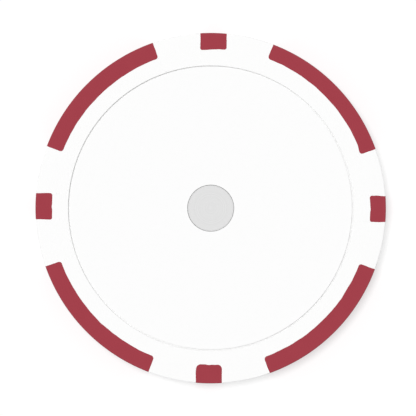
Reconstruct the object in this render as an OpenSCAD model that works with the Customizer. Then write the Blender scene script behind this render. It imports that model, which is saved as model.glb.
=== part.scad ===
// A weighted composite poker chip, lying flat with its axis along Z.
// The origin is at the centre of the face that it lies on. Sizes are in millimetres.

/* [Chip] */
// Diameter over the rim
chip_d = 40; // [36:0.5:44]
// Thickness over the two rim faces
chip_t = 3.3; // [3:0.1:4]
// Width of the raised rim on each face
rim_w = 3.75; // [3:0.05:5]
// Radius that rounds the rim's two outer edges
edge_round = 0.15; // [0.1:0.05:0.5]

/* [Recess and inlay] */
// Thickness of an inlay
inlay_t = 0.3; // [0.1:0.02:0.4]
// How far the inlay's face lies below the rim face
inlay_drop = 0.06; // [0.04:0.02:0.2]
// Gap all round between the inlay and the recess wall
inlay_gap = 0.14; // [0.1:0.02:0.4]
// Bevel that breaks the lip of the recess
recess_bevel = 0.04; // [0.02:0.02:0.1]

/* [Edge spots] */
// Number of long spots, with as many short ones between them
spot_pairs = 4; // [3:1:5]
// White land between a spot and the recess
spot_land = 1.85; // [1.2:0.05:2.2]
// Arc of a long spot, in degrees
long_spot_arc = 50; // [40:1:54]
// Width of a short spot between its parallel sides
short_spot_w = 3; // [2:0.1:4]
// Radius of the two inner corners of a spot
spot_corner = 0.3; // [0.1:0.05:0.5]

/* [Spot tongues] */
// How far the hidden tongue runs in past the visible spot
tongue_depth = 1.4; // [1.2:0.1:1.8]
// Thickness of the tongue, at half the chip's thickness
tongue_t = 1.1; // [0.6:0.1:1.4]
// Step from each end of a spot to the end of its tongue
tongue_inset = 0.4; // [0.2:0.1:0.6]
// Diameter of the anchor holes through a tongue
anchor_d = 0.7; // [0.4:0.1:0.9]
// Number of anchor holes in a long spot's tongue
long_spot_anchors = 5; // [1:1:7]

/* [Weight slug] */
// Plastic between the slug's edge and the tongues
slug_wall = 2.7; // [1:0.1:5]
// Plastic between the slug and the floor of each recess
slug_cover = 0.44; // [0.3:0.02:0.8]
// Bevel on the slug's two outer edges
slug_bevel = 0.2; // [0.1:0.05:0.4]

/* [Centre pin] */
// Diameter of the centre pin
pin_d = 5.3; // [4:0.1:8]
// How far a pin end lies below the rim face
pin_drop = 0.02; // [0.01:0.01:0.05]
// Bevel on the pin's two ends
pin_bevel = 0.08; // [0.04:0.02:0.2]

/* [Fits] */
// Bond line between a moulded-in piece and the body
bond_gap = 0.02; // [0.01:0.01:0.05]
// Gap between the centre pin and the inlay's hole
pin_inlay_gap = 0.02; // [0.02:0.01:0.2]

/* [Hidden] */
$fn = 96;
// Overrun of a cut past the face that it opens
cut_over = 1;
// Steps round the inner corner of a long spot
corner_steps = 4;
spot_red = "#A3404B";

chip_r = chip_d / 2;
recess_r = chip_r - rim_w;
recess_depth = inlay_t + inlay_drop;
recess_floor_z = chip_t - recess_depth;
inlay_r = recess_r - inlay_gap;
spot_inner_r = recess_r + spot_land;
tongue_inner_r = spot_inner_r - tongue_depth;
tongue_z = (chip_t - tongue_t) / 2;
anchor_r = spot_inner_r - tongue_depth / 2;
slug_r = tongue_inner_r - slug_wall;
slug_z = recess_depth + slug_cover;
slug_t = chip_t - 2 * slug_z;
pin_r = pin_d / 2;
pin_top_z = chip_t - pin_drop;
// Long spots lie halfway between the short ones
spot_pitch = 360 / spot_pairs;
long_spot_turn = spot_pitch / 2;

LONG_SPOTS = [for (i = [1 : spot_pairs]) str("long_spot_", i)];
SHORT_SPOTS = [for (i = [1 : spot_pairs]) str("short_spot_", i)];
MIDDLE_PIECES = ["chip_body", "weight_slug", "centre_pin", "front_inlay", "back_inlay"];

// Angle in degrees that a length along a circle of radius r takes
function arc_angle(length, r) = length / r * 180 / PI;

// Half-section of the plain disc, with both outer edges rounded
module disc_section() {
    square([chip_r - edge_round, chip_t]);
    translate([0, edge_round]) square([chip_r, chip_t - 2 * edge_round]);
    for (z = [edge_round, chip_t - edge_round])
        translate([chip_r - edge_round, z]) circle(r = edge_round);
}

// Half-section of the recess in the front face, with the bevel of its lip
module recess_section() {
    polygon([
        [0, recess_floor_z],
        [recess_r, recess_floor_z],
        [recess_r, chip_t - recess_bevel],
        [recess_r + recess_bevel + cut_over, chip_t + cut_over],
        [0, chip_t + cut_over],
    ]);
}

// Half-section of the slug without its hole, grown by a gap
module slug_section(gap = 0) {
    r = slug_r + gap;
    low = slug_z - gap;
    high = slug_z + slug_t + gap;
    polygon([
        [0, low],
        [r - slug_bevel, low],
        [r, low + slug_bevel],
        [r, high - slug_bevel],
        [r - slug_bevel, high],
        [0, high],
    ]);
}

// A 2-D section and its mirror image in the chip's middle plane
module on_both_faces() {
    children();
    translate([0, chip_t]) mirror([0, 1]) children();
}

// Points round one inner corner of a ring sector, from its inner arc to its end
function corner_points(inner_r, half_arc, corner) =
    let (
        centre_r = inner_r + corner,
        end_turn = asin(corner / centre_r),
        turn = half_arc - end_turn,
        sweep = 90 - end_turn
    )
    [for (i = [0 : corner_steps])
        let (t = sweep * i / corner_steps)
        [
            (centre_r - corner * cos(t)) * cos(turn) - corner * sin(t) * sin(turn),
            (centre_r - corner * cos(t)) * sin(turn) + corner * sin(t) * cos(turn),
        ]];

// Plan of a ring sector centred on the X axis, with its two inner corners rounded
module ring_sector(inner_r, outer_r, half_arc, corner) {
    reach = outer_r + cut_over;
    points = corner_points(inner_r, half_arc, corner);
    // The first step runs on inwards, so that it crosses the inner arc
    inside = 2 * points[0] - points[1];
    side = concat([inside], [for (i = [1 : corner_steps]) points[i]], [[reach, reach * tan(half_arc)]]);
    other_side = [for (i = [len(side) - 1 : -1 : 0]) [side[i].x, -side[i].y]];
    intersection() {
        difference() {
            circle(r = outer_r);
            circle(r = inner_r);
        }
        polygon(concat(side, other_side));
    }
}

// Plan of a long spot, grown by a gap, running out past the rim
module long_plan(gap = 0) {
    inner_r = spot_inner_r - gap;
    half_arc = long_spot_arc / 2 + arc_angle(gap, inner_r);
    ring_sector(inner_r, chip_r + cut_over, half_arc, spot_corner + gap);
}

// Plan of a short spot, grown by a gap, running out past the rim
module short_plan(gap = 0) {
    inner_r = spot_inner_r - gap;
    corner = spot_corner + gap;
    half_w = short_spot_w / 2 + gap;
    reach = chip_r + cut_over;
    translate([inner_r + corner, -half_w]) square([reach - inner_r - corner, 2 * half_w]);
    translate([inner_r, corner - half_w]) square([reach - inner_r, 2 * (half_w - corner)]);
    for (side = [-1, 1])
        translate([inner_r + corner, side * (half_w - corner)]) circle(r = corner);
}

// Plan of a long spot's tongue, grown by a gap
module long_tongue_plan(gap = 0) {
    half_arc = long_spot_arc / 2 - arc_angle(tongue_inset - gap, spot_inner_r);
    ring_sector(tongue_inner_r - gap, spot_inner_r + spot_corner, half_arc, spot_corner + gap);
}

// Plan of a short spot's tongue, grown by a gap
module short_tongue_plan(gap = 0) {
    half_w = short_spot_w / 2 - tongue_inset + gap;
    length = tongue_depth + spot_corner + gap;
    translate([tongue_inner_r - gap, -half_w]) square([length, 2 * half_w]);
}

// Anchor holes through a tongue, spread evenly along it
module anchors(count, arc, gap = 0) {
    for (i = [1 : count])
        rotate((i / (count + 1) - 0.5) * arc)
            translate([anchor_r, 0, 0]) cylinder(r = anchor_d / 2 - gap, h = chip_t);
}

// A tongue of the plan given, pierced by its anchor holes
module tongue(count, arc, gap = 0) {
    difference() {
        translate([0, 0, tongue_z - gap]) linear_extrude(tongue_t + 2 * gap) children();
        anchors(count, arc, gap);
    }
}

// A cut of the plan given, right through the chip
module through_cut() {
    translate([0, 0, -cut_over]) linear_extrude(chip_t + 2 * cut_over) children();
}

// The slice of the plain disc that lies under the plan given
module disc_slice() {
    intersection() {
        rotate_extrude() disc_section();
        linear_extrude(chip_t) children();
    }
}

// The pocket in the body for a long spot
module long_pocket() {
    through_cut() long_plan(bond_gap);
    tongue(long_spot_anchors, long_spot_arc, bond_gap) long_tongue_plan(bond_gap);
}

// The pocket in the body for a short spot
module short_pocket() {
    through_cut() short_plan(bond_gap);
    tongue(1, 0, bond_gap) short_tongue_plan(bond_gap);
}

// The moulded body, with its recesses, slug cavity, pin bore and spot pockets
module chip_body() {
    color("white") difference() {
        rotate_extrude() difference() {
            disc_section();
            on_both_faces() recess_section();
            slug_section(bond_gap);
            translate([0, -cut_over]) square([pin_r + bond_gap, chip_t + 2 * cut_over]);
        }
        for (i = [0 : spot_pairs - 1]) {
            rotate(i * spot_pitch) short_pocket();
            rotate(i * spot_pitch + long_spot_turn) long_pocket();
        }
    }
}

// The steel slug that gives the chip its weight
module weight_slug() {
    color("silver") rotate_extrude() difference() {
        slug_section();
        translate([0, slug_z - cut_over]) square([pin_r + bond_gap, slug_t + 2 * cut_over]);
    }
}

// The pin that carries the slug and shows at the centre of both faces
module centre_pin() {
    color("gainsboro") rotate_extrude() polygon([
        [0, pin_drop],
        [pin_r - pin_bevel, pin_drop],
        [pin_r, pin_drop + pin_bevel],
        [pin_r, pin_top_z - pin_bevel],
        [pin_r - pin_bevel, pin_top_z],
        [0, pin_top_z],
    ]);
}

// A plain inlay, a thin disc pierced for the pin, resting on a height
module inlay(z) {
    hole_r = pin_r + pin_inlay_gap;
    color("snow") translate([0, 0, z]) rotate_extrude()
        translate([hole_r, 0]) square([inlay_r - hole_r, inlay_t]);
}

// A long spot, which runs through the rim from face to face, with its tongue
module long_spot(turn) {
    color(spot_red) rotate(turn) {
        disc_slice() long_plan();
        tongue(long_spot_anchors, long_spot_arc) long_tongue_plan();
    }
}

// A short spot, with parallel sides and one anchor hole in its tongue
module short_spot(turn) {
    color(spot_red) rotate(turn) {
        disc_slice() short_plan();
        tongue(1, 0) short_tongue_plan();
    }
}

chip_body();
weight_slug();
centre_pin();
inlay(recess_floor_z);  // front_inlay
inlay(inlay_drop);  // back_inlay
for (i = [0 : spot_pairs - 1]) {
    long_spot(i * spot_pitch + long_spot_turn);
    short_spot(i * spot_pitch);
}
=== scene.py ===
"""A weighted poker chip: white moulded body, red edge spots, blank inlays and a steel pin."""

import math

import bmesh
import bpy
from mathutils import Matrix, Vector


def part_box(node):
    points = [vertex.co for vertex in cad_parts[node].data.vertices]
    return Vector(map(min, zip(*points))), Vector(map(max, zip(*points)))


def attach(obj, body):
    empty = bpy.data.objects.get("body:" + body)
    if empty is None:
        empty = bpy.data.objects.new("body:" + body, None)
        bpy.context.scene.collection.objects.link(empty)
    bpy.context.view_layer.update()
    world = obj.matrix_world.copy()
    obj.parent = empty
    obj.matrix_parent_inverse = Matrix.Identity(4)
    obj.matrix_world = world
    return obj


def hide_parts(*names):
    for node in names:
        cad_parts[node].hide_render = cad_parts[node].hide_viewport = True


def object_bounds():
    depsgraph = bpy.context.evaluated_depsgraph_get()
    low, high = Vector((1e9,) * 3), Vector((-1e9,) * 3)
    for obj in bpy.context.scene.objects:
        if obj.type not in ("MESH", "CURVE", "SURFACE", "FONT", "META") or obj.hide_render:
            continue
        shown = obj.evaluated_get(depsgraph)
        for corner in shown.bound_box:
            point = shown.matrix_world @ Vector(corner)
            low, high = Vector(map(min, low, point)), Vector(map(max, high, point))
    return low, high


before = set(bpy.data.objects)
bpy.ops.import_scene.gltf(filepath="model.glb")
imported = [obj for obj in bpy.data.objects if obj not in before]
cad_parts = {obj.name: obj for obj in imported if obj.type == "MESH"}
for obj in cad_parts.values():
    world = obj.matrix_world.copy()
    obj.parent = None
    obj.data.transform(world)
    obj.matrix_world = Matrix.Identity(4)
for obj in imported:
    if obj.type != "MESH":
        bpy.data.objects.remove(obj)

MM = 0.001
QUARTER_TURN = math.pi / 2

# Boxes of the CAD pieces that the shapes here follow
cad_low, cad_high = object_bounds()
slug_low, slug_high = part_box("weight_slug")
inlay_low, inlay_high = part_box("front_inlay")
pin_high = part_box("centre_pin")[1]

# Sizes of the turned pieces
CHIP_R = cad_high.x
CHIP_T = cad_high.z
EDGE_ROUND = 0.15 * MM
INLAY_R = inlay_high.x
INLAY_GAP = 0.14 * MM
RECESS_R = INLAY_R + INLAY_GAP
RECESS_BEVEL = 0.04 * MM
RECESS_FLOOR_Z = inlay_low.z
PIN_R = pin_high.x
PIN_BEVEL = 0.08 * MM
SLUG_BEVEL = 0.2 * MM
# Room for the bond round the pin and the slug
BOND_GAP = 0.02 * MM
BORE_R = PIN_R + BOND_GAP
# A fine groove round the middle of the edge, where the two halves of the mould met
PARTING_HALF_W = 0.04 * MM
PARTING_DEPTH = 0.015 * MM

# How finely the pieces are turned
ROUND_STEPS = 10
LATHE_STEPS = 720
PIN_STEPS = 240
# Edges shorter than this are closed up after the cuts, so that no sliver is left
SLIVER = 0.002 * MM
# Faces that meet at more than this are shaded with a sharp corner
SHARP_ANGLE = math.radians(20)

# An edge spot is a pad that shows, with a hidden tongue behind it that posts of the body pass through
TONGUE_DEPTH = 1.4 * MM
TONGUE_T = 1.1 * MM
TONGUE_INSET = 0.4 * MM
ANCHOR_R = 0.35 * MM
ANCHOR_SIDES = 32
# How far a dip reaches either way along the inner edge, and a swell from its end
DIP_REACH = 0.45 * MM
SWELL_REACH = 1.5 * MM
# How far the cutting shapes run past the chip
CUT_OVER = 0.5 * MM
PAD_ROWS = 32
PAD_LAYERS = 12
TONGUE_ROWS = 6
TONGUE_LAYERS = 2
# Columns crowd towards the two ends of a spot, where its corners turn; 0 would space them evenly
CROWDING = 0.7
# Steps between the seeds of the ragged edges, from spot to spot and from an inner edge to its ends
SPOT_SEED_STEP = 11.3
END_SEED_STEP = 3.7

# No two spots came out of the mould alike: their depths in from the rim, inner corner radii, shifts
# anticlockwise along the rim and arcs in degrees, anticlockwise from the right of the picture. The
# inner edge of some swells inwards at its clockwise end, dips outwards halfway along, or slants
# outwards to its clockwise end.
LONG_SPOTS = {
    "first_turn": QUARTER_TURN / 2,
    "width": 0.0,
    "raggedness": 0.09 * MM,
    "columns": 180,
    "anchors": 5,
    "first_seed": 0.0,
    "spots": [
        {"depth": 1.74 * MM, "corner": 0.35 * MM, "shift": 0.0, "arc": 49.4, "swell": 0.16 * MM},
        {"depth": 1.93 * MM, "corner": 0.32 * MM, "shift": -0.04 * MM, "arc": 50.0},
        {"depth": 1.90 * MM, "corner": 0.35 * MM, "shift": -0.04 * MM, "arc": 49.8},
        {"depth": 1.93 * MM, "corner": 0.32 * MM, "shift": 0.09 * MM, "arc": 50.0, "slant": -0.03 * MM},
    ],
}
SHORT_SPOTS = {
    "first_turn": 0.0,
    "width": 3.0 * MM,
    "raggedness": 0.12 * MM,
    "columns": 60,
    "anchors": 1,
    "first_seed": 60.5,
    "spots": [
        {"depth": 1.81 * MM, "corner": 0.25 * MM, "shift": 0.11 * MM, "dip": 0.05 * MM},
        {"depth": 1.89 * MM, "corner": 0.25 * MM, "shift": -0.13 * MM, "slant": 0.07 * MM},
        {"depth": 1.89 * MM, "corner": 0.28 * MM, "shift": -0.01 * MM, "dip": 0.05 * MM},
        {"depth": 2.15 * MM, "corner": 0.58 * MM, "shift": 0.0, "dip": 0.05 * MM},
    ],
}

# Colours, as linear light
WHITE_LIGHT = (0.966, 0.966, 0.965, 1)
WHITE_DARK = (0.950, 0.950, 0.948, 1)
RED_LIGHT = (0.345, 0.044, 0.061, 1)
RED_DARK = (0.315, 0.034, 0.051, 1)
INLAY_LIGHT = (0.960, 0.960, 0.960, 1)
INLAY_DARK = (0.945, 0.945, 0.945, 1)
PIN_LIGHT = (0.84, 0.84, 0.84, 1)
PIN_DARK = (0.69, 0.69, 0.69, 1)
SLUG_LIGHT = (0.56, 0.56, 0.57, 1)
SLUG_DARK = (0.44, 0.44, 0.45, 1)
# Painted shade, a warm grey laid into the gap round the inlay
GAP_SHADE = (0.80, 0.79, 0.77, 1)
FLOOR_WHITE = (0.9, 0.9, 0.9, 1)
PURE_WHITE = (1, 1, 1, 1)

# Light on a level surface from all round and from the key lamp, where 1 shows white as white
AMBIENT_LIGHT = 0.415
KEY_LIGHT = 0.615


class Wire:
    """An output socket, so that maths on it reads as an expression."""

    def __init__(self, graph, socket):
        self.graph = graph
        self.socket = socket

    def out(self, name):
        """Another output of the same node."""
        return Wire(self.graph, self.socket.node.outputs[name])

    def do(self, operation, *others):
        """A Math node that starts from this value."""
        return self.graph.maths(operation, self, *others)

    def __add__(self, other):
        return self.do("ADD", other)

    def __radd__(self, other):
        return self.do("ADD", other)

    def __sub__(self, other):
        return self.do("SUBTRACT", other)

    def __rsub__(self, other):
        return self.graph.maths("SUBTRACT", other, self)

    def __mul__(self, other):
        return self.do("MULTIPLY", other)

    def __rmul__(self, other):
        return self.do("MULTIPLY", other)

    def __truediv__(self, other):
        return self.do("DIVIDE", other)

    def __rtruediv__(self, other):
        return self.graph.maths("DIVIDE", other, self)


class Graph:
    """Adds nodes to a shader or geometry tree."""

    def __init__(self, tree):
        self.tree = tree

    def add(self, kind, settings=None, sockets=None, output=0):
        """A new node: its settings come first, then the values or links of its sockets."""
        node = self.tree.nodes.new(kind)
        for name, value in (settings or {}).items():
            setattr(node, name, value)
        for name, value in (sockets or {}).items():
            parts = value if isinstance(value, list) else [value]
            for part in parts:
                if isinstance(part, Wire):
                    self.tree.links.new(part.socket, node.inputs[name])
                else:
                    node.inputs[name].default_value = part
        return Wire(self, node.outputs[output]) if node.outputs else node

    def maths(self, operation, *values):
        """A Math node on values or wires."""
        return self.add("ShaderNodeMath", {"operation": operation}, dict(enumerate(values)))

    def mix_colour(self, factor, start, end):
        """A Mix node's colour sockets come after its float and vector ones, under the same names."""
        return self.add("ShaderNodeMix", {"data_type": "RGBA"}, {0: factor, 6: start, 7: end}, output=2)


class Finish(Graph):
    """A material on one Principled BSDF, with its coordinates in millimetres of the chip's own frame."""

    def __init__(self, name):
        self.material = bpy.data.materials.new(name)
        self.material.use_nodes = True
        super().__init__(self.material.node_tree)
        self.shader = self.tree.nodes["Principled BSDF"]
        place = self.add("ShaderNodeTexCoord", output="Object")
        scaled = {"Vector": place, "Scale": 1 / MM}
        self.place = self.add("ShaderNodeVectorMath", {"operation": "SCALE"}, scaled)
        self.xyz = self.add("ShaderNodeSeparateXYZ", sockets={"Vector": self.place})

    def noise(self, per_mm, detail, roughness=0.5):
        """Noise from 0 to 1, with about so many features to the millimetre."""
        sockets = {"Vector": self.place, "Scale": per_mm, "Detail": detail, "Roughness": roughness}
        return self.add("ShaderNodeTexNoise", sockets=sockets, output="Fac")

    def ring_noise(self, per_mm, detail):
        """Noise from 0 to 1 that varies only with the distance from the chip's axis."""
        sockets = {"W": self.radius(), "Scale": per_mm, "Detail": detail}
        return self.add("ShaderNodeTexNoise", {"noise_dimensions": "1D"}, sockets, output="Fac")

    def radius(self):
        """Distance from the chip's axis, in millimetres."""
        x = self.xyz.out("X")
        y = self.xyz.out("Y")
        return (x * x + y * y).do("SQRT")

    def bump(self, height, depth):
        """A normal for heights from 0 to 1 that stand for so much depth."""
        return self.add("ShaderNodeBump", sockets={"Height": height, "Distance": depth}, output="Normal")

    def set(self, **sockets):
        """Sets or links the shader's sockets, and gives the finished material."""
        for name, value in sockets.items():
            socket = self.shader.inputs[name.replace("_", " ")]
            if isinstance(value, Wire):
                self.tree.links.new(value.socket, socket)
            else:
                socket.default_value = value
        return self.material


def ramp(value, start, end):
    """Rises evenly from 0 to 1 as a value goes from start to end."""
    return ((value - start) / (end - start)).do("MAXIMUM", 0.0).do("MINIMUM", 1.0)


def between(low, high, share):
    """Goes from low to high with a share from 0 to 1."""
    return low + share * (high - low)


def moulded_composite(name, light, dark):
    """Pressed clay composite: cloudy pigment, fine grain, an edge that handling has polished, and
    painted shade in the gap round the inlay.
    """
    grain_share = 0.25
    # How far the painted shade darkens the gap round the inlay
    gap_shade_share = 0.06
    polish_gain = 0.08
    polish_start = CHIP_R / MM - 0.5
    polish_end = CHIP_R / MM - 0.1
    finish = Finish(name)
    radius = finish.radius()
    clouds = finish.noise(per_mm=0.6, detail=3)
    grain = finish.noise(per_mm=8, detail=3, roughness=0.6)
    clean = finish.mix_colour(between(clouds, grain, grain_share), dark, light)
    polish = ramp(radius, polish_start, polish_end)
    # Painted shade darkens the body inside the recess, where only the gap round the inlay shows it
    gap_shade_mask = ramp(radius, (RECESS_R + RECESS_BEVEL) / MM, RECESS_R / MM)
    return finish.set(
        Base_Color=finish.mix_colour(gap_shade_mask * gap_shade_share, clean, GAP_SHADE),
        Roughness=between(0.46, 0.56, clouds) - polish * polish_gain,
        Specular_IOR_Level=0.3,
        Normal=finish.bump(grain, 0.02 * MM),
    )


def laminated_paper():
    """Blank inlay stock under a satin film, through which its fibres show faintly."""
    finish = Finish("inlay_satin")
    fibres = finish.noise(per_mm=1.6, detail=5, roughness=0.6)
    return finish.set(
        Base_Color=finish.mix_colour(fibres, INLAY_DARK, INLAY_LIGHT),
        Roughness=between(0.36, 0.48, fibres),
        Specular_IOR_Level=0.3,
        Normal=finish.bump(fibres, 0.01 * MM),
    )


def turned_steel():
    """Satin steel, with the fine rings that facing the pin's end leaves."""
    finish = Finish("pin_turned_steel")
    rings = finish.ring_noise(per_mm=9, detail=3)
    return finish.set(
        Base_Color=finish.mix_colour(rings, PIN_DARK, PIN_LIGHT),
        Metallic=1.0,
        Roughness=between(0.3, 0.42, rings),
        Normal=finish.bump(rings, 0.01 * MM),
    )


def stamped_steel():
    """Mill-finished slug stock, with blotches that are brighter and rougher."""
    finish = Finish("slug_stamped_steel")
    blotches = finish.noise(per_mm=0.5, detail=4)
    return finish.set(
        Base_Color=finish.mix_colour(blotches, SLUG_DARK, SLUG_LIGHT),
        Metallic=1.0,
        Roughness=between(0.4, 0.6, blotches),
        Normal=finish.bump(blotches, 0.01 * MM),
    )


def rounded_edge():
    """Points round the front edge of the rim, as (radius, height), from its face to its side."""
    centre_r = CHIP_R - EDGE_ROUND
    centre_z = CHIP_T - EDGE_ROUND
    turns = [QUARTER_TURN - QUARTER_TURN * i / ROUND_STEPS for i in range(ROUND_STEPS + 1)]
    return [(centre_r + EDGE_ROUND * math.cos(t), centre_z + EDGE_ROUND * math.sin(t)) for t in turns]


def mirrored(section):
    """A front half's points again on the back half, in the order that goes on from them."""
    return [(r, CHIP_T - z) for r, z in reversed(section)]


def body_section():
    """Half-section of the body, as a closed loop of (radius, height) that runs clockwise."""
    middle_z = CHIP_T / 2
    front = [
        (BORE_R, RECESS_FLOOR_Z),
        (RECESS_R, RECESS_FLOOR_Z),
        (RECESS_R, CHIP_T - RECESS_BEVEL),
        (RECESS_R + RECESS_BEVEL, CHIP_T),
        *rounded_edge(),
        (CHIP_R, middle_z + PARTING_HALF_W),
    ]
    parting_line = (CHIP_R - PARTING_DEPTH, middle_z)
    cavity_r = slug_high.x + BOND_GAP
    cavity_low = slug_low.z - BOND_GAP
    cavity_high = slug_high.z + BOND_GAP
    cavity = [
        (BORE_R, cavity_low),
        (cavity_r - SLUG_BEVEL, cavity_low),
        (cavity_r, cavity_low + SLUG_BEVEL),
        (cavity_r, cavity_high - SLUG_BEVEL),
        (cavity_r - SLUG_BEVEL, cavity_high),
        (BORE_R, cavity_high),
    ]
    return [*front, parting_line, *mirrored(front), *cavity]


def inlay_section(low, high):
    """Half-section of a punched disc between two heights, with a hole for the pin."""
    return [(BORE_R, low), (BORE_R, high), (INLAY_R, high), (INLAY_R, low)]


def pin_section():
    """Half-section of the pin, with a bevel at each end."""
    front = [(0.0, pin_high.z), (PIN_R - PIN_BEVEL, pin_high.z), (PIN_R, pin_high.z - PIN_BEVEL)]
    return [*front, *mirrored(front)]


def lathe(name, section, steps=LATHE_STEPS):
    """A closed mesh that turns the section round the chip's axis."""
    count = len(section)
    points = []
    faces = []
    for step in range(steps):
        turn = 2 * math.pi * step / steps
        points += [(r * math.cos(turn), r * math.sin(turn), z) for r, z in section]
        here = step * count
        there = (step + 1) % steps * count
        for i in range(count):
            j = (i + 1) % count
            faces.append((here + i, here + j, there + j, there + i))
    mesh = bpy.data.meshes.new(name)
    mesh.from_pydata(points, [], faces)
    shape = bmesh.new()
    shape.from_mesh(mesh)
    bmesh.ops.recalc_face_normals(shape, faces=shape.faces)
    shape.to_mesh(mesh)
    shape.free()
    return mesh


def waver(graph, along, height, seed):
    """Noise from -1 to 1 that varies along an edge and down through the chip."""
    place = graph.add("ShaderNodeCombineXYZ", sockets={"X": along / MM, "Y": height / MM, "Z": seed})
    sockets = {"Vector": place, "Scale": 0.7, "Detail": 3.0, "Roughness": 0.55}
    noise = graph.add("ShaderNodeTexNoise", sockets=sockets, output="Fac")
    return noise * 2 - 1


def fade(distance, reach):
    """Falls smoothly from 1 to 0 as a distance grows to the reach."""
    near = (1 - distance / reach).do("MAXIMUM", 0.0)
    return near * near * (3 - 2 * near)


def polar_place(graph, radius, angle, height):
    """A position at a radius and an angle round the chip's axis, and at a height."""
    sockets = {"X": radius * angle.do("COSINE"), "Y": radius * angle.do("SINE"), "Z": height}
    return graph.add("ShaderNodeCombineXYZ", sockets=sockets)


def rim_block(graph, spot, grid, radii, heights, inset=0.0, raggedness=0.0):
    """A block that follows the rim, with wavering sides and rounded inner corners."""
    inner, outer = radii
    low, high = heights
    columns, rows, layers = grid
    sizes = {"Size": (1, 1, 1), "Vertices X": columns, "Vertices Y": rows, "Vertices Z": layers}
    cube = graph.add("GeometryNodeMeshCube", sockets=sizes)
    place = graph.add("GeometryNodeInputPosition")
    unit = graph.add("ShaderNodeSeparateXYZ", sockets={"Vector": place})
    even = unit.out("X") * 2
    outward = unit.out("Y") + 0.5
    height = low + (high - low) * (unit.out("Z") + 0.5)
    # Runs from -1 at the anticlockwise end to 1 at the clockwise end
    across = even + (even * math.pi).do("SINE") * (CROWDING / math.pi)

    def half_angle(radius):
        return spot.out("Half Arc") + (spot.out("Half Width") / radius).do("ARCSINE") - inset / radius

    half_length = half_angle(inner) * inner
    along = across * half_length
    to_end = half_length * (1 - across.do("ABSOLUTE"))
    corner = spot.out("Corner Radius")
    rise = (corner - to_end).do("MAXIMUM", 0.0)
    corner_step = corner - (corner * corner - rise * rise).do("MAXIMUM", 0.0).do("SQRT")
    clockwise = across.do("SIGN").do("MAXIMUM", 0.0)
    swell = spot.out("Swell") * clockwise * fade(to_end, SWELL_REACH)
    dip = spot.out("Dip") * fade(along.do("ABSOLUTE"), DIP_REACH)
    slant = spot.out("Slant") * across
    seed = spot.out("Seed")
    edge_waver = waver(graph, along, height, seed) * raggedness
    inner_shift = corner_step + edge_waver + dip - swell + slant
    radius = inner + (outer - inner) * outward + (1 - outward) * inner_shift
    end_seed = seed + across.do("SIGN") * END_SEED_STEP
    end_waver = waver(graph, radius, height, end_seed) * raggedness
    angle = spot.out("Turn") - across * (half_angle(radius) + end_waver / radius)
    position = polar_place(graph, radius, angle, height)
    return graph.add("GeometryNodeSetPosition", sockets={"Geometry": cube, "Position": position})


def anchor_posts(graph, spot, radius):
    """Posts through a tongue, spread evenly along it, which hold the spot in the body."""
    count = spot.out("Anchors")
    points = graph.add("GeometryNodeMeshLine", sockets={"Count": count})
    share = (graph.add("GeometryNodeInputIndex") + 1) / (count + 1)
    angle = spot.out("Turn") + (share * 2 - 1) * spot.out("Half Arc")
    position = polar_place(graph, radius, angle, CHIP_T / 2)
    places = graph.add("GeometryNodeSetPosition", sockets={"Geometry": points, "Position": position})
    sizes = {"Vertices": ANCHOR_SIDES, "Radius": ANCHOR_R, "Depth": CHIP_T}
    post = graph.add("GeometryNodeMeshCylinder", sockets=sizes)
    posts = graph.add("GeometryNodeInstanceOnPoints", sockets={"Points": places, "Instance": post})
    return graph.add("GeometryNodeRealizeInstances", sockets={"Geometry": posts})


def boolean(graph, operation, sockets):
    """Joins, cuts or intersects closed meshes."""
    return graph.add("GeometryNodeMeshBoolean", {"operation": operation, "solver": "MANIFOLD"}, sockets)


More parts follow.
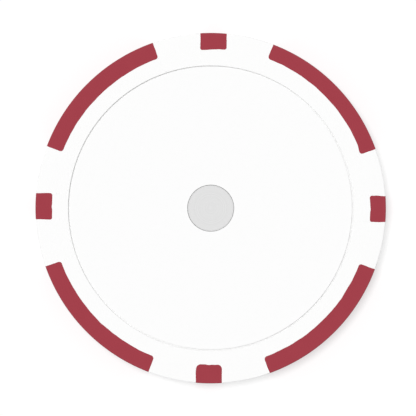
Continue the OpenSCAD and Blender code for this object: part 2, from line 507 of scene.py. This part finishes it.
def edge_spot_tree():
    """Cuts one ragged spot out of the chip, and keeps either the spot or the chip with its pocket."""
    tree = bpy.data.node_groups.new("edge_spot", "GeometryNodeTree")
    kinds = {
        "Chip": "NodeSocketGeometry",
        "Turn": "NodeSocketFloat",
        "Half Arc": "NodeSocketFloat",
        "Half Width": "NodeSocketFloat",
        "Depth": "NodeSocketFloat",
        "Corner Radius": "NodeSocketFloat",
        "Raggedness": "NodeSocketFloat",
        "Swell": "NodeSocketFloat",
        "Dip": "NodeSocketFloat",
        "Slant": "NodeSocketFloat",
        "Seed": "NodeSocketFloat",
        "Columns": "NodeSocketInt",
        "Anchors": "NodeSocketInt",
        "Keep Spot": "NodeSocketBool",
        "Finish": "NodeSocketMaterial",
    }
    for name, kind in kinds.items():
        tree.interface.new_socket(name, in_out="INPUT", socket_type=kind)
    tree.interface.new_socket("Mesh", in_out="OUTPUT", socket_type="NodeSocketGeometry")
    graph = Graph(tree)
    spot = graph.add("NodeGroupInput")
    chip = spot.out("Chip")
    columns = spot.out("Columns")
    pad_inner = CHIP_R - spot.out("Depth")
    pad = rim_block(
        graph,
        spot,
        grid=(columns, PAD_ROWS, PAD_LAYERS),
        radii=(pad_inner, CHIP_R + CUT_OVER),
        heights=(-CUT_OVER, CHIP_T + CUT_OVER),
        raggedness=spot.out("Raggedness"),
    )
    tongue = rim_block(
        graph,
        spot,
        grid=(columns, TONGUE_ROWS, TONGUE_LAYERS),
        radii=(pad_inner - TONGUE_DEPTH, pad_inner + CUT_OVER),
        heights=((CHIP_T - TONGUE_T) / 2, (CHIP_T + TONGUE_T) / 2),
        inset=TONGUE_INSET,
    )
    posts = anchor_posts(graph, spot, pad_inner - TONGUE_DEPTH / 2)
    pierced = boolean(graph, "DIFFERENCE", {"Mesh 1": tongue, "Mesh 2": posts})
    cutter = boolean(graph, "UNION", {"Mesh 2": [pad, pierced]})
    pocketed = boolean(graph, "DIFFERENCE", {"Mesh 1": chip, "Mesh 2": cutter})
    kept = boolean(graph, "INTERSECT", {"Mesh 2": [chip, cutter]})
    choice = {"Switch": spot.out("Keep Spot"), "False": pocketed, "True": kept}
    result = graph.add("GeometryNodeSwitch", {"input_type": "GEOMETRY"}, choice)
    whole = graph.add("GeometryNodeRealizeInstances", sockets={"Geometry": result})
    dressed = {"Geometry": whole, "Material": spot.out("Finish")}
    finished = graph.add("GeometryNodeSetMaterial", sockets=dressed)
    graph.add("NodeGroupOutput", sockets={"Mesh": finished})
    return tree


def spot_values(family, index):
    """The tree's inputs for one spot."""
    own = family["spots"][index]
    middle = QUARTER_TURN * index + family["first_turn"]
    return {
        "Turn": middle + own["shift"] / CHIP_R,
        "Half Arc": math.radians(own.get("arc", 0.0) / 2),
        "Half Width": family["width"] / 2,
        "Depth": own["depth"],
        "Corner Radius": own["corner"],
        "Raggedness": family["raggedness"],
        "Swell": own.get("swell", 0.0),
        "Dip": own.get("dip", 0.0),
        "Slant": own.get("slant", 0.0),
        "Seed": SPOT_SEED_STEP * index + family["first_seed"],
        "Columns": family["columns"],
        "Anchors": family["anchors"],
    }


def add_cut(piece, tree, values):
    """Adds the tree to a piece as a modifier, with its inputs set by their sockets' identifiers."""
    modifier = piece.modifiers.new(tree.name, "NODES")
    modifier.node_group = tree
    for item in tree.interface.items_tree:
        if item.in_out == "INPUT" and item.name in values:
            modifier[item.identifier] = values[item.name]


def settle(piece):
    """Turns a piece into a plain mesh of triangles, smooth round its curves and sharp at its corners."""
    graph = bpy.context.evaluated_depsgraph_get()
    mesh = bpy.data.meshes.new_from_object(piece.evaluated_get(graph))
    piece.modifiers.clear()
    piece.data = mesh
    shape = bmesh.new()
    shape.from_mesh(mesh)
    bmesh.ops.dissolve_degenerate(shape, edges=shape.edges, dist=SLIVER)
    bmesh.ops.triangulate(shape, faces=shape.faces)
    shape.to_mesh(mesh)
    shape.free()
    mesh.shade_smooth()
    mesh.set_sharp_from_angle(angle=SHARP_ANGLE)


def new_object(name, data):
    """A new object at the origin of the scene."""
    item = bpy.data.objects.new(name, data)
    bpy.context.scene.collection.objects.link(item)
    return item


def fit_out(piece, node):
    """Hangs the piece on the root, which it moves with, and hides the CAD node that it stands for."""
    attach(piece, "root")
    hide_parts(node)


def turned_piece(node, mesh, finish):
    """A piece turned on the lathe, in place of a CAD node."""
    piece = new_object(mesh.name, mesh)
    mesh.materials.append(finish)
    settle(piece)
    fit_out(piece, node)


def seen_directly(graph):
    """1 for rays from the camera, a mirror or glass, and 0 for scattered light."""
    path = graph.add("ShaderNodeLightPath", output="Is Camera Ray")
    mirrored_or_through = path.out("Is Glossy Ray").do("MAXIMUM", path.out("Is Transmission Ray"))
    return path.do("MAXIMUM", mirrored_or_through)


def white_world():
    """Even light from all round, which the camera and mirrors see as plain white."""
    world = bpy.data.worlds.new("studio")
    bpy.context.scene.world = world
    world.use_nodes = True
    graph = Graph(world.node_tree)
    background = world.node_tree.nodes["Background"]
    background.inputs["Color"].default_value = PURE_WHITE
    strength = between(AMBIENT_LIGHT, 1, seen_directly(graph))
    graph.tree.links.new(strength.socket, background.inputs["Strength"])


def floor_finish():
    """Shown as white wherever no shadow falls on it, and pale to the light that it scatters."""
    material = bpy.data.materials.new("floor_white")
    material.use_nodes = True
    graph = Graph(material.node_tree)
    graph.tree.nodes.remove(graph.tree.nodes["Principled BSDF"])
    # Shadows darken only this share of what shows; the rest glows, and the two come to just over white
    shadow_share = 0.40
    full_level = 1.025
    glow_share = full_level - shadow_share * (AMBIENT_LIGHT + KEY_LIGHT)
    shade_grey = (shadow_share, shadow_share, shadow_share, 1)
    bounce = graph.add("ShaderNodeBsdfDiffuse", sockets={"Color": FLOOR_WHITE})
    shade = graph.add("ShaderNodeBsdfDiffuse", sockets={"Color": shade_grey})
    glow = graph.add("ShaderNodeEmission", sockets={"Color": PURE_WHITE, "Strength": glow_share})
    shown = graph.add("ShaderNodeAddShader", sockets={0: shade, 1: glow})
    mixed = graph.add("ShaderNodeMixShader", sockets={0: seen_directly(graph), 1: bounce, 2: shown})
    output = graph.tree.nodes["Material Output"]
    graph.tree.links.new(mixed.socket, output.inputs["Surface"])
    return material


def white_floor():
    """A pale floor, far wider than the picture."""
    half = 2.0
    corners = [(-half, -half, 0), (half, -half, 0), (half, half, 0), (-half, half, 0)]
    mesh = bpy.data.meshes.new("floor")
    mesh.from_pydata(corners, [], [(0, 1, 2, 3)])
    mesh.materials.append(floor_finish())
    floor = new_object("floor", mesh)


def key_lamp():
    """A large soft lamp, far off, high up and a little to the upper left of the picture."""
    lean = math.radians(12.5)
    bearing = math.radians(137)
    data = bpy.data.lights.new("key", "SUN")
    data.angle = math.radians(18)
    data.energy = KEY_LIGHT * math.pi / math.cos(lean)
    lamp = new_object("key", data)
    lamp.rotation_euler = (0, lean, bearing)
    # Left out of reflections, so that no hot spot lies on the flat faces
    lamp.visible_glossy = False


def camera():
    """Looks straight down, as the photograph does, and frames the chip as it does."""
    picture_px = 416
    chip_px = 350.7
    centre_x_px = 210.7
    centre_y_px = 208.15
    roll = math.radians(0.62)
    px = 2 * CHIP_R / chip_px
    data = bpy.data.cameras.new("camera")
    data.lens = 300
    data.sensor_width = 36
    data.clip_start = 0.01
    distance = picture_px * px * data.lens / data.sensor_width
    aside = (picture_px / 2 - centre_x_px) * px
    up = (centre_y_px - picture_px / 2) * px
    viewer = new_object("camera", data)
    viewer.location = (aside, up, CHIP_T + distance)
    viewer.rotation_euler = (0, 0, roll)
    bpy.context.scene.camera = viewer


# The finishes
white_composite = moulded_composite("body_white_composite", WHITE_LIGHT, WHITE_DARK)
red_composite = moulded_composite("spot_red_composite", RED_LIGHT, RED_DARK)
inlay_satin = laminated_paper()
pin_steel = turned_steel()
slug_steel = stamped_steel()

# The edge spots, each cut out of a copy of the plain turned chip
blank = lathe("chip_blank", body_section())
cut_tree = edge_spot_tree()
cuts = []
for kind, family in (("long", LONG_SPOTS), ("short", SHORT_SPOTS)):
    for index in range(len(family["spots"])):
        values = spot_values(family, index)
        cuts.append(values)
        spot = new_object(f"red_{kind}_spot_{index + 1}", blank.copy())
        add_cut(spot, cut_tree, {**values, "Keep Spot": True, "Finish": red_composite})
        settle(spot)
        fit_out(spot, f"{kind}_spot_{index + 1}")

# The body, with a pocket for each spot
body = new_object("moulded_body", blank)
for values in cuts:
    add_cut(body, cut_tree, {**values, "Keep Spot": False, "Finish": white_composite})
settle(body)
fit_out(body, "chip_body")

# The inlays, the pin and the slug
for node in ("front_inlay", "back_inlay"):
    low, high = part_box(node)
    disc = lathe(f"satin_{node}", inlay_section(low.z, high.z))
    turned_piece(node, disc, inlay_satin)
pin = lathe("turned_pin", pin_section(), PIN_STEPS)
turned_piece("centre_pin", pin, pin_steel)
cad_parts["weight_slug"].material_slots[0].material = slug_steel

# The stage
white_world()
white_floor()
key_lamp()
camera()
bpy.context.scene.view_settings.view_transform = "Standard"
